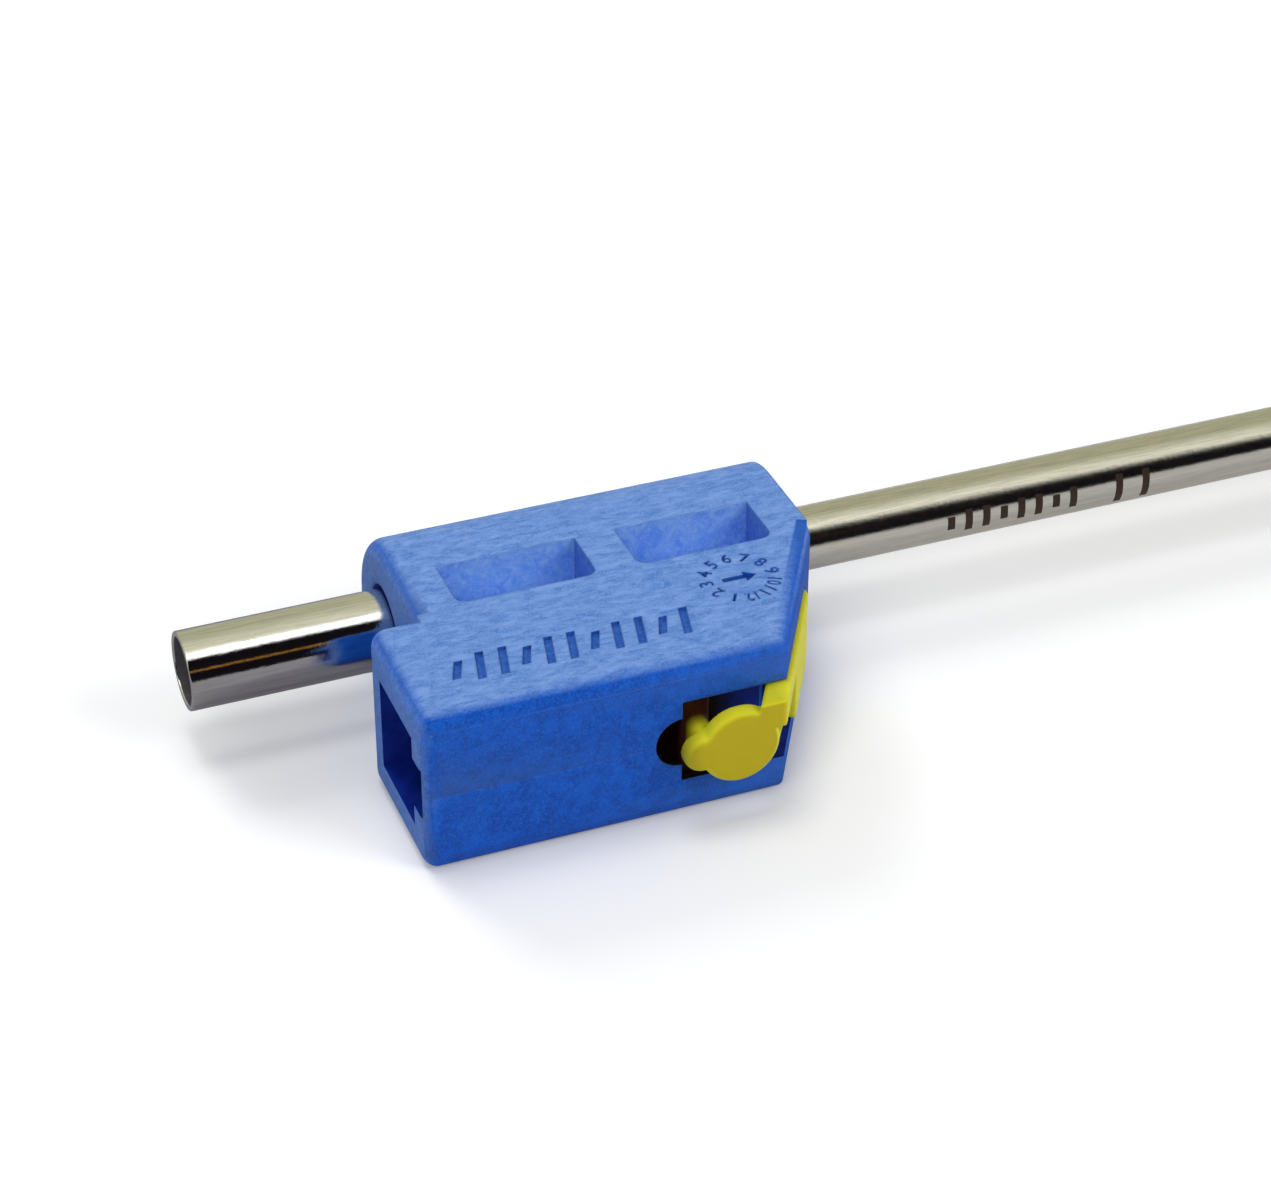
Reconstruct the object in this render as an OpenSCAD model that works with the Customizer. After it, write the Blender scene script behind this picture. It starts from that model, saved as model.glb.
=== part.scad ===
// Single-use liposuction cannula: a steel suction tube in a two-part clip-on hub.
// Origin on the tube axis where the tube enters the rear of the hub.
// +X runs along the tube to the tip, +Y away from the socket side, +Z up.

/* [Hub] */
// Height of the hub, both shells together
hub_height = 10.6; // [9.6:0.1:13]
// Length of the hub on the tube side, rear face to front face
hub_length = 24.7; // [22:0.1:32]
// Distance from the tube axis to the flat near side
near_reach = 16.8; // [15.8:0.1:20]
// Width of the socket block that stands out at the rear
block_width = 10; // [9.6:0.1:12]
// How far the socket block stands out behind the tube side
block_step = 3; // [2:0.1:5]
// Length of the near side, from the block's rear face to the slanted front
near_length = 21.6; // [20.6:0.1:25]
// Distance from the tube axis to where the slanted front meets the square front
slant_end = 6.2; // [5:0.1:7.5]
// Rounding along the near side, top and bottom
near_round = 1; // [0.4:0.1:1.4]
// Rounding of the rear edges and of the slanted front
edge_round = 1; // [0.3:0.1:1.1]
// Mould draft of the near side, in degrees from the joint line
near_draft = 1; // [0:0.25:2]

/* [Socket for the handpiece post] */
// Width of the socket
socket_width = 5.8; // [5:0.1:6.4]
// Height of the socket
socket_height = 6; // [5:0.1:7]
// Depth of the socket from the block's rear face
socket_depth = 18.3; // [17.6:0.1:19]
// Wall between the socket and the near side
socket_wall = 2; // [1.7:0.1:2.3]
// Width of the key groove in the near wall
key_width = 3.3; // [2.8:0.1:4]
// Depth of the key groove
key_depth = 1.35; // [0.8:0.05:1.5]

/* [Latch window] */
// Height of the window and of the slot in the slanted front
window_height = 5.44; // [5:0.02:7]
// Distance of the window from the block's rear face
window_start = 15.3; // [15:0.1:16]
// How deep the window reaches in beside the socket's end
window_depth = 3.4; // [2.2:0.1:4]
// Radius of the half-round relief at the window's rear edge
notch_r = 1.6; // [1.45:0.05:1.65]

/* [Core pockets] */
// Length of the rear pocket
pocket_a_length = 8.6; // [6:0.1:8.9]
// Length of the front pocket
pocket_b_length = 8.5; // [6:0.1:9.5]
// Distance of the rear pocket from the rear face
pocket_start = 2.55; // [1.5:0.05:2.8]
// Rib between the pockets
pocket_rib = 2.5; // [2.4:0.1:3.2]
// Width of the pockets
pocket_width = 4; // [2.5:0.1:4.3]
// Distance from the tube axis to the pockets' far wall
pocket_inset = 2.5; // [2.2:0.1:2.9]
// Depth of the pockets
pocket_depth = 3.6; // [1.5:0.1:3.8]
// Corner radius of the pockets
pocket_corner = 0.7; // [0.3:0.1:1.2]

/* [Tubes] */
// Outer diameter of the suction sleeve
sleeve_od = 4.8; // [4.6:0.05:5.6]
// Wall of the suction sleeve
sleeve_wall = 0.35; // [0.2:0.01:0.36]
// Length of sleeve that stands out behind the hub
sleeve_out = 12.3; // [8:0.1:20]
// Outer diameter of the cannula
tube_od = 4; // [3.2:0.05:4.04]
// Wall of the cannula
tube_wall = 0.4; // [0.25:0.01:0.6]
// Working length of the cannula, hub face to tip
cannula_length = 220; // [120:1:320]
// Length of cannula hidden in the sleeve behind the hub's rear face
tube_back = 4; // [1:0.1:8]

/* [Tip] */
// Length of the bullet nose
nose_length = 3.6; // [2.4:0.1:5]
// Length of the plug that sits in the tube
plug_length = 3; // [1.5:0.1:4]
// Number of suction ports
port_count = 3; // [1:1:3]
// Length of a port
port_length = 7; // [4:0.1:10]
// Width of a port
port_width = 1.8; // [1:0.1:2.2]
// Distance from the nose's base to the near end of the ports
port_setback = 5; // [4.2:0.1:12]

/* [Anchor collar] */
// Outer diameter of the collar
collar_od = 6.8; // [6:0.1:7.4]
// Length of the collar
collar_length = 1.8; // [1.2:0.1:2]
// Width across the collar's flats
collar_flats = 5.6; // [5:0.1:6]

/* [Latch] */
// Thickness of the latch strip
strip_thickness = 1.45; // [1:0.05:1.6]
// How far the strip stands proud of the slanted front
strip_proud = 0.3; // [0:0.05:0.5]
// Length of the strip along the slanted front
strip_length = 9.6; // [8.4:0.1:10]
// Length of the relief cut under the arm
arm_length = 3.6; // [2.5:0.1:4.5]
// Height of the arm's underside above the joint line
arm_floor = 0.9; // [0.2:0.05:1.4]
// Radius of the thumb pad
pad_r = 2.4; // [2:0.05:2.6]
// Thickness of the thumb pad
pad_thickness = 0.95; // [0.6:0.05:1.3]
// Gap between the thumb pad and the near side
pad_stand = 0.8; // [0.8:0.05:1.2]
// Distance of the pad's centre behind the near front corner
pad_back = 3.35; // [3.1:0.05:3.5]
// Radius of the lobe on the pad's rear rim
lobe_r = 1.15; // [0.9:0.05:1.25]
// Width of the stem behind the lobe
stem_width = 1.3; // [1:0.05:1.6]
// Height of the stem behind the lobe
stem_height = 2.5; // [1.6:0.1:2.6]
// Length of the catch frame along the tube direction
catch_length = 1.7; // [1.2:0.1:1.9]
// How far the catch reaches into the socket
catch_bite = 0.5; // [0.3:0.05:0.6]
// Full press of the latch, in degrees
latch_press = 4; // [2:0.5:4]

/* [Fits] */
// Clearance between the latch and the hub
latch_gap = 0.12; // [0.06:0.01:0.2]
// Clearance round a piece that is held fast
seat_gap = 0.02; // [0.01:0.01:0.05]

/* [Hidden] */
// Overrun of every cut
over = 0.5;
$fn = 96;

half_h = hub_height / 2;
block_rear = -block_step;
near_y = -near_reach;
block_far = near_y + block_width;
near_front = block_rear + near_length;
window_x = block_rear + window_start;
window_half = window_height / 2;

// The slanted front: its near end is the corner, its own X runs along it to the square front
slant_run = hub_length - near_front;
slant_rise = near_reach - slant_end;
slant_angle = atan2(slant_rise, slant_run);
slant_length = norm([slant_run, slant_rise]);

// Socket walls
socket_near = near_y + socket_wall;
socket_far = socket_near + socket_width;
socket_end = block_rear + socket_depth;
socket_mid = (socket_near + socket_far) / 2;
key_half = key_width / 2;
key_near = socket_near - key_depth;

// Pockets, the same on both shells
pocket_far = -pocket_inset;
pocket_b_start = pocket_start + pocket_a_length + pocket_rib;
pocket_floor = half_h - pocket_depth;

// Tubes: the sleeve is turned down where the hub grips it, so that a shoulder meets the hub
sleeve_r = sleeve_od / 2;
grip_r = sleeve_r - sleeve_wall * 0.5;
sleeve_bore_r = sleeve_r - sleeve_wall;
tube_r = tube_od / 2;
tube_bore_r = tube_r - tube_wall;
lip = sleeve_wall * 0.25;

// Groove in the cannula at the hub's front, where the plastic grips it
groove_r = tube_r - tube_wall * 0.45;
groove_length = tube_od * 0.2;
groove_x = hub_length - groove_length;

// Collar: it lies in the rib between the two pockets
rib_mid = pocket_start + pocket_a_length + pocket_rib / 2;
collar_x = rib_mid - collar_length / 2;
collar_r = collar_od / 2;
nose_x = hub_length + cannula_length - nose_length;
nose_tip_r = tube_r * 0.3;

// Latch, in the slanted frame: x along the slant, y into the hub
strip_in = strip_thickness - strip_proud;
strip_half = window_half - latch_gap;
knuckle_r = strip_thickness / 2;
pivot_s = strip_length - knuckle_r;
pivot_t = strip_in - knuckle_r;
pivot_x = near_front + pivot_s * cos(slant_angle) - pivot_t * sin(slant_angle);
pivot_y = near_y + pivot_s * sin(slant_angle) + pivot_t * cos(slant_angle);
slot_start = -pad_back;
slot_end = strip_length + latch_gap;
floor_at_pivot = strip_in + latch_gap * 2;
floor_at_start = floor_at_pivot + (pivot_s - slot_start) * tan(latch_press);

// Root of the latch: an ear beyond the knuckle, a foot under it and a heel that hooks into the hub
knuckle_gap = latch_gap / 2;
ear_top = strip_thickness / 3;
ear_end = strip_length + latch_gap * 2;
foot_start = pivot_s - knuckle_r * 0.6;
foot_top = strip_in + latch_gap;
foot_end = strip_thickness * 1.85;
heel_depth = strip_thickness * 0.4;
heel_start = foot_start - heel_depth;

// Thumb pad
pad_back_y = near_y - pad_stand;
pad_front_y = pad_back_y - pad_thickness;
pad_x = near_front - pad_back;
pad_edge = pad_thickness * 0.45;
lobe_x = pad_x - pad_r + lobe_r / 8;
stem_x = lobe_x + lobe_r * 0.3;
stem_corner = stem_width * 0.4;
// The arm's outer edge at the pad's front, and where the web below it runs into the pad's rim
arm_edge_x = near_front + (pad_front_y - near_y) / tan(slant_angle) + strip_proud / sin(slant_angle);
web_angle = 25;

// Catch frame round the post, and the pocket that it swings in
frame_x = stem_x - catch_length / 2;
roof = half_h - socket_height / 2;
frame_gap = roof * 0.07;
frame_bar = roof * 0.5;
frame_inner_half = socket_height / 2 + frame_gap;
frame_half = frame_inner_half + frame_bar;
catch_y = socket_far - catch_bite;
frame_far = catch_y + frame_bar;
frame_near_in = socket_near - catch_bite * 1.4;
frame_near = frame_near_in - socket_wall * 0.3;
swing_x = (pivot_y - frame_near) * sin(latch_press);
swing_y = (pivot_x - frame_x) * sin(latch_press);
cavity_x0 = frame_x - swing_x - latch_gap * 2;
cavity_x1 = frame_x + catch_length + latch_gap * 2.5;
cavity_y0 = frame_near - latch_gap;
cavity_y1 = frame_far + swing_y + latch_gap * 2;
cavity_half = frame_half + frame_gap;

// Weld posts of the lower shell, in the middle of the walls that hold them
post_r = (half_h - grip_r) * 0.24;
post_h = half_h * 0.3;
boss_mid = (half_h + grip_r) / 2;
web_mid = (cavity_y1 - collar_r) / 2;
front_mid = (hub_length + pocket_b_start + pocket_b_length) / 2;
pocket_near = pocket_far - pocket_width;
posts = [
    [pocket_start + pocket_a_length * 0.2, boss_mid],
    [pocket_b_start + pocket_b_length * 0.7, boss_mid],
    [pocket_start + pocket_a_length * 0.2, (socket_far + pocket_near) / 2],
    [rib_mid, web_mid],
    [front_mid, -(slant_end + tube_r) / 2]
];

// Placing along the tube axis and along the slanted front
module along_x(x = 0) { translate([x, 0, 0]) rotate([0, 90, 0]) children(); }
module along_y(x, y) { translate([x, y, 0]) rotate([-90, 0, 0]) children(); }
module on_slant() { translate([near_front, near_y, 0]) rotate([0, 0, slant_angle]) children(); }

// A box between two corners
module span(a, b) { translate(a) cube(b - a); }

// Cutter for a convex edge: the edge runs up +Z, the solid lies in the -X, -Y quadrant
module edge_cut(len, r) {
    translate([-r, -r, -over])
        difference() {
            cube([r + over, r + over, len + 2 * over]);
            translate([0, 0, -over]) cylinder(r = r, h = len + 4 * over, $fn = 48);
        }
}

// The same cutter along +X and along +Y, at the upper edge whose solid lies below
module cut_along_x(p, len, r) { translate(p) rotate([90, 0, 90]) edge_cut(len, r); }
module cut_along_y(p, len, r) { translate(p) rotate([-90, 0, 0]) mirror([0, 1, 0]) edge_cut(len, r); }

// Outline of the hub seen from above, without the half-round far side
module plan() {
    polygon([
        [block_rear, near_y], [near_front, near_y], [hub_length, -slant_end],
        [hub_length, 0], [0, 0], [0, block_far], [block_rear, block_far]
    ]);
}

// Half-round far side: a bar centred on the tube, with a rounded rear rim
module far_round() {
    along_x()
        rotate_extrude($fn = 128)
            union() {
                square([half_h - edge_round, hub_length]);
                translate([0, edge_round]) square([half_h, hub_length - edge_round]);
                translate([half_h - edge_round, edge_round]) circle(r = edge_round, $fn = 48);
            }
}

// Upper half of the outside, edges rounded
module upper_outside() {
    difference() {
        intersection() {
            union() {
                translate([0, 0, -half_h]) linear_extrude(hub_height) plan();
                far_round();
            }
            span([block_rear - over, near_y - half_h, 0], [hub_length + over, half_h + over, half_h]);
        }
        // Draft of the near side
        translate([block_rear - over, near_y, 0])
            rotate([-near_draft, 0, 0])
                translate([0, -half_h, 0])
                    cube([hub_length + block_step + 2 * over, half_h, hub_height]);
        // Near edge and slanted edge
        translate([block_rear, near_y + half_h * sin(near_draft), half_h])
            mirror([0, 1, 0]) cut_along_x([0, 0, 0], hub_length + block_step, near_round);
        on_slant()
            translate([0, 0, half_h])
                mirror([0, 1, 0]) cut_along_x([0, 0, 0], slant_length, edge_round);
        // Rear edge of the block, its upright corners and its far edge
        translate([block_rear, near_y, half_h])
            mirror([1, 0, 0]) cut_along_y([0, 0, 0], block_width, edge_round);
        translate([block_rear, near_y, 0])
            mirror([1, 0, 0]) mirror([0, 1, 0]) edge_cut(half_h, edge_round);
        translate([block_rear, block_far, 0])
            mirror([1, 0, 0]) edge_cut(half_h, edge_round);
        block_far_edge();
        // Ball corners where these edges meet
        translate([block_rear, near_y + half_h * sin(near_draft) / 2, half_h]) ball_corner_cut();
        translate([block_rear, block_far, half_h]) mirror([0, 1, 0]) ball_corner_cut();
        // Rear edge of the tube side
        translate([0, block_far + over, half_h])
            mirror([1, 0, 0]) cut_along_y([0, 0, 0], -block_far - 2 * over, edge_round);
    }
}

// Cutter that turns a top corner into a ball: the solid lies in the +X, +Y, -Z octant
module ball_corner_cut() {
    r = edge_round;
    difference() {
        translate([-over, -over, -r]) cube([r + over, r + over, r + over]);
        translate([r, r, -r]) sphere(r = r, $fn = 48);
    }
}

// Far top edge of the socket block, cut only where the block stands free
module block_far_edge() {
    intersection() {
        cut_along_x([block_rear, block_far, half_h], block_step, edge_round);
        span([block_rear - over, block_far - hub_height, 0], [0, block_far + over, hub_height]);
    }
}

// A pocket with rounded corners, cut down from the top face
module pocket(x, len) {
    c = pocket_corner;
    translate([0, 0, pocket_floor])
        linear_extrude(pocket_depth + over)
            union() {
                translate([x + c, pocket_near]) square([len - 2 * c, pocket_width]);
                translate([x, pocket_near + c]) square([len, pocket_width - c]);
                for (cx = [x + c, x + len - c])
                    translate([cx, pocket_near + c]) circle(r = c, $fn = 32);
            }
}

// Everything that is open inside the hub, the same above and below the joint plane
module cavities() {
    // Socket, key groove and window
    span([block_rear - over, socket_near, -socket_height / 2], [socket_end, socket_far, socket_height / 2]);
    span([block_rear - over, key_near, -key_half], [window_x, socket_near + over, key_half]);
    span([window_x, near_y - near_round, -window_half], [near_front, near_y + window_depth, window_half]);
    along_y(window_x, near_y - near_round) cylinder(r = notch_r, h = socket_wall + near_round);
    // Slot in the slanted front, open to the window; its floor falls away as far as the strip swings
    on_slant()
        translate([0, 0, -window_half])
            linear_extrude(window_height)
                polygon([
                    [slot_start, -over], [slot_end, -over], [slot_end, floor_at_pivot],
                    [pivot_s, floor_at_pivot], [slot_start, floor_at_start]
                ]);
    // Pocket of the catch frame
    span([cavity_x0, cavity_y0, -cavity_half], [cavity_x1, cavity_y1, cavity_half]);
    // Seat of the latch root
    on_slant() root_block(seat_gap);
    // Tube seats and collar seat
    along_x(-over) cylinder(r = grip_r + seat_gap, h = collar_x + over);
    along_x(0) cylinder(r = tube_r + seat_gap, h = hub_length + over);
    collar_solid(seat_gap);
}

// A rectangle between two corners, grown by a gap
module area(a, b, g) { translate([a[0] - g, a[1] - g]) square([b[0] - a[0] + 2 * g, b[1] - a[1] + 2 * g]); }

// Ear, foot and heel of the latch root in the slanted frame, grown by a gap
module root_block(g) {
    translate([0, 0, -strip_half - g])
        linear_extrude(2 * (strip_half + g))
            union() {
                area([pivot_s, ear_top], [ear_end, foot_end], g);
                area([foot_start, foot_top], [ear_end, foot_end], g);
                area([heel_start, foot_end - heel_depth], [ear_end, foot_end], g);
            }
}

// Collar with two flats, grown by a gap
module collar_solid(g) {
    intersection() {
        along_x(collar_x - g) cylinder(r = collar_r + g, h = collar_length + 2 * g);
        span([collar_x - over, -collar_od, -collar_flats / 2 - g],
             [collar_x + collar_length + over, collar_od, collar_flats / 2 + g]);
    }
}

module hub_upper_shell() {
    color([0.36, 0.55, 0.86])
        difference() {
            upper_outside();
            cavities();
            pocket(pocket_start, pocket_a_length);
            pocket(pocket_b_start, pocket_b_length);
            for (p = posts)
                translate([p[0], p[1], -over])
                    cylinder(r = post_r + seat_gap, h = post_h + 2 * seat_gap + over, $fn = 48);
        }
}

module hub_lower_shell() {
    color([0.2, 0.42, 0.78])
        union() {
            difference() {
                mirror([0, 0, 1]) upper_outside();
                cavities();
                mirror([0, 0, 1]) pocket(pocket_start, pocket_a_length);
                mirror([0, 0, 1]) pocket(pocket_b_start, pocket_b_length);
            }
            for (p = posts)
                translate([p[0], p[1], -post_h])
                    cylinder(r = post_r, h = 2 * post_h, $fn = 48);
        }
}

module suction_sleeve() {
    color([0.72, 0.72, 0.7])
        along_x(-sleeve_out)
            rotate_extrude($fn = 96)
                polygon([
                    [sleeve_bore_r + lip, 0], [sleeve_r - lip, 0], [sleeve_r, lip],
                    [sleeve_r, sleeve_out], [grip_r, sleeve_out],
                    [grip_r, sleeve_out + collar_x - seat_gap],
                    [sleeve_bore_r, sleeve_out + collar_x - seat_gap], [sleeve_bore_r, lip]
                ]);
}

module cannula_tube() {
    body_length = nose_x + tube_back;
    port_x = nose_x - port_setback - port_length;
    color([0.75, 0.75, 0.73])
        difference() {
            along_x(-tube_back)
                rotate_extrude($fn = 96)
                    polygon([
                        [tube_bore_r, 0], [tube_r, 0],
                        [tube_r, tube_back + groove_x], [groove_r, tube_back + groove_x],
                        [groove_r, tube_back + groove_x + groove_length],
                        [tube_r, tube_back + groove_x + groove_length],
                        [tube_r, body_length], [tube_bore_r, body_length]
                    ]);
            for (k = [0:port_count - 1])
                rotate([k * 360 / port_count, 0, 0])
                    port_cut(port_x);
        }
}

// One long round-ended port through the upper wall
module port_cut(x) {
    r = port_width / 2;
    translate([x + r, 0, 0]) cylinder(r = r, h = tube_od, $fn = 48);
    translate([x + port_length - r, 0, 0]) cylinder(r = r, h = tube_od, $fn = 48);
    span([x + r, -r, 0], [x + port_length - r, r, tube_od]);
}

// Bullet nose: an arc of revolution with a small round point, on a plug that sits in the bore
module cannula_tip() {
    rise = tube_r - nose_tip_r;
    run = nose_length - nose_tip_r;
    arc_r = (run * run + rise * rise) / (2 * rise);
    arc = asin(run / arc_r);
    steps = 12;
    color([0.78, 0.78, 0.76])
        union() {
            along_x(nose_x)
                rotate_extrude($fn = 96)
                    polygon(concat(
                        [[0, 0]],
                        [for (k = [0:steps])
                            [tube_r - arc_r * (1 - cos(arc * k / steps)), arc_r * sin(arc * k / steps)]],
                        [for (k = [1:steps])
                            [nose_tip_r * cos(90 * k / steps), run + nose_tip_r * sin(90 * k / steps)]]
                    ));
            along_x(nose_x - plug_length) cylinder(r = tube_bore_r - seat_gap, h = plug_length + lip);
        }
}

module anchor_collar() {
    color([0.66, 0.66, 0.64])
        difference() {
            collar_solid(0);
            along_x(collar_x - over) cylinder(r = tube_r + seat_gap, h = collar_length + 2 * over);
        }
}

// Strip, arm, thumb pad, stem and catch frame, one moulding
module release_latch() {
    color([0.87, 0.86, 0.1])
        union() {
            strip();
            thumb_pad();
            catch_frame();
        }
}

module strip() {
    intersection() {
        on_slant()
            union() {
                span([arm_length, -strip_proud, -strip_half], [pivot_s, strip_in, strip_half]);
                span([-near_length, -strip_proud, arm_floor], [arm_length + over, strip_in, strip_half]);
                translate([pivot_s, pivot_t, -strip_half]) cylinder(r = knuckle_r, h = 2 * strip_half, $fn = 64);
            }
        span([pad_x, pad_front_y, -half_h], [hub_length + over, 0, half_h]);
    }
}

// A flat button that faces -Y, with a softened front rim
module button(x, r) {
    along_y(x, pad_front_y)
        rotate_extrude($fn = 96)
            union() {
                square([r - pad_edge, pad_thickness]);
                translate([0, pad_edge]) square([r, pad_thickness - pad_edge]);
                translate([r - pad_edge, pad_edge]) circle(r = pad_edge, $fn = 32);
            }
}

module thumb_pad() {
    button(pad_x, pad_r);
    button(lobe_x, lobe_r);
    arm_web();
    // Stem behind the lobe, in to the catch frame
    translate([stem_x, frame_near_in, 0])
        rotate([90, 0, 0])
            linear_extrude(frame_near_in - pad_back_y + pad_thickness / 2)
                stem_outline();
}

// Web that carries the arm's outer edge down into the pad's rim
module arm_web() {
    translate([0, pad_back_y, 0])
        rotate([90, 0, 0])
            linear_extrude(pad_thickness - pad_edge / 2)
                polygon([
                    [pad_x, -pad_edge], [pad_x + pad_r * cos(web_angle), -pad_r * sin(web_angle)],
                    [arm_edge_x, arm_floor + pad_edge], [pad_x, arm_floor + pad_edge]
                ]);
}

// Outline of the stem, a rectangle with rounded corners
module stem_outline() {
    w = stem_width / 2;
    h = stem_height / 2;
    c = stem_corner;
    translate([-w, -h + c]) square([2 * w, 2 * (h - c)]);
    translate([-w + c, -h]) square([2 * (w - c), 2 * h]);
    for (x = [-w + c, w - c], y = [-h + c, h - c])
        translate([x, y]) circle(r = c, $fn = 32);
}

// Frame that the post passes through; its far bar reaches into the socket and holds the post
module catch_frame() {
    x1 = frame_x + catch_length;
    difference() {
        span([frame_x, frame_near, -frame_half], [x1, frame_far, frame_half]);
        translate([0, 0, -frame_inner_half])
            linear_extrude(2 * frame_inner_half)
                polygon([
                    [frame_x - over, frame_near_in], [x1 + over, frame_near_in],
                    [x1 + over, catch_y], [frame_x + catch_length * 0.6, catch_y],
                    [frame_x, socket_far], [frame_x - over, socket_far]
                ]);
    }
}

module latch_root() {
    color([0.8, 0.79, 0.1])
        on_slant()
            difference() {
                root_block(0);
                translate([pivot_s, pivot_t, -half_h])
                    cylinder(r = knuckle_r + knuckle_gap, h = hub_height, $fn = 64);
            }
}

hub_upper_shell();
hub_lower_shell();
suction_sleeve();
cannula_tube();
cannula_tip();
anchor_collar();
release_latch();
latch_root();
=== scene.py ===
import bpy
import bmesh
import math
from mathutils import Matrix, Vector


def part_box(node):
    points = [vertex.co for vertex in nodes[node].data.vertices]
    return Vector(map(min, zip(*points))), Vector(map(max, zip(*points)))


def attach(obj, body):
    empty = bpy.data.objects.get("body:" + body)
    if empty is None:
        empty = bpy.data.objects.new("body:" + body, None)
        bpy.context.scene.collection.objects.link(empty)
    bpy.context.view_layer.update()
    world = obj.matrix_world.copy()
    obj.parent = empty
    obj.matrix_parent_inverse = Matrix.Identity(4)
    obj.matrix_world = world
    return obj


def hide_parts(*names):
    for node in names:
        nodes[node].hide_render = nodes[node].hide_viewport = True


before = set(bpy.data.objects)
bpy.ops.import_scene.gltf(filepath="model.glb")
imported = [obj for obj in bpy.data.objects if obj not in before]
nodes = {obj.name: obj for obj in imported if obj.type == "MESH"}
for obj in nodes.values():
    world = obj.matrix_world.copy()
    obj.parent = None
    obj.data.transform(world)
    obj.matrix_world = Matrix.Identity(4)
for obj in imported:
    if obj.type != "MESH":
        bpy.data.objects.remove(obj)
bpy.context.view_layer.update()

# One millimetre in the frame's metres
MM = 0.001

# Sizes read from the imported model. TOP, the height of the hub's top face, and SLEEVE_R are in
# millimetres.
HUB_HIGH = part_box("hub_upper_shell")[1]
HUB_FRONT = HUB_HIGH[0]
TOP = HUB_HIGH[2] / MM
HUB_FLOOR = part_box("hub_lower_shell")[0][2]
TUBE_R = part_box("cannula_tip")[1][1]
SLEEVE_LOW, SLEEVE_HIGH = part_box("suction_sleeve")
SLEEVE_R = SLEEVE_HIGH[1] / MM

# The slanted front corner, which the latch's strip lies on: how far its normal turns to the near
# side
SLANT = math.radians(30)
SLANT_NORMAL = Vector((math.cos(SLANT), -math.sin(SLANT), 0))


def in_mm(x, y, z=0.0):
    """A place written in millimetres."""
    return Vector((x, y, z)) * MM


def link(obj):
    bpy.context.scene.collection.objects.link(obj)
    return obj


# Camera

CAMERA_PLACE = in_mm(-42.80, -149.61, 107.84)
CAMERA_AZIMUTH = math.radians(21.46)
CAMERA_DIP = math.radians(34.32)
CAMERA_ROLL = math.radians(0.26)
CAMERA_LENS = 90.17


def make_camera():
    """The photograph's viewpoint: azimuth from +Y towards +X, dip below the horizon."""
    data = bpy.data.cameras.new("camera")
    data.lens = CAMERA_LENS
    data.sensor_width = 36.0
    data.sensor_fit = "HORIZONTAL"
    data.clip_start = 10 * MM
    data.clip_end = 20.0
    camera = link(bpy.data.objects.new("camera", data))
    turn = Matrix.Rotation(-CAMERA_AZIMUTH, 4, "Z")
    tilt = Matrix.Rotation(math.pi / 2 - CAMERA_DIP, 4, "X")
    roll = Matrix.Rotation(CAMERA_ROLL, 4, "Z")
    camera.matrix_world = Matrix.Translation(CAMERA_PLACE) @ turn @ tilt @ roll
    bpy.context.scene.camera = camera


# Materials. How dark the drawn lines of the steel are, beside its tint
STEEL_LINE_SHARE = 0.84


class Tree:
    """Builds a tree of shader nodes. Most methods return the socket that the next node takes."""

    def __init__(self, tree):
        self.tree = tree

    def node(self, kind, **settings):
        made = self.tree.nodes.new(kind)
        for key, value in settings.items():
            setattr(made, key, value)
        return made

    def join(self, source, target):
        self.tree.links.new(source, target)

    def feed(self, target, value):
        """Gives a socket a number, a plain colour or the socket of another node."""
        if isinstance(value, (int, float)):
            target.default_value = value
        elif isinstance(value, tuple):
            target.default_value = (*value, 1)
        else:
            self.join(value, target)

    def ramp(self, source, *stops):
        """A colour ramp: each stop is (position, colour)."""
        made = self.node("ShaderNodeValToRGB")
        elements = made.color_ramp.elements
        while len(elements) < len(stops):
            elements.new(0.5)
        for element, (position, colour) in zip(elements, stops):
            element.position = position
            element.color = (*colour, 1)
        self.join(source, made.inputs["Fac"])
        return made.outputs["Color"]

    def spread(self, source, low, high, to_low=0.0, to_high=1.0):
        """Maps a value from one range to another, clamped."""
        made = self.node("ShaderNodeMapRange")
        limits = {"From Min": low, "From Max": high, "To Min": to_low, "To Max": to_high}
        for key, value in limits.items():
            self.feed(made.inputs[key], value)
        self.join(source, made.inputs["Value"])
        return made.outputs["Result"]

    def mix(self, factor, first, second):
        """Mixes two colours, each a socket or a plain colour."""
        made = self.node("ShaderNodeMix", data_type="RGBA")
        self.join(factor, made.inputs["Factor"])
        for key, value in (("A", first), ("B", second)):
            target = [s for s in made.inputs if s.name == key and s.type == "RGBA"][0]
            self.feed(target, value)
        return [s for s in made.outputs if s.type == "RGBA"][0]

    def maths(self, operation, first, second):
        made = self.node("ShaderNodeMath", operation=operation)
        for target, value in zip(made.inputs, (first, second)):
            self.feed(target, value)
        return made.outputs["Value"]


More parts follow.
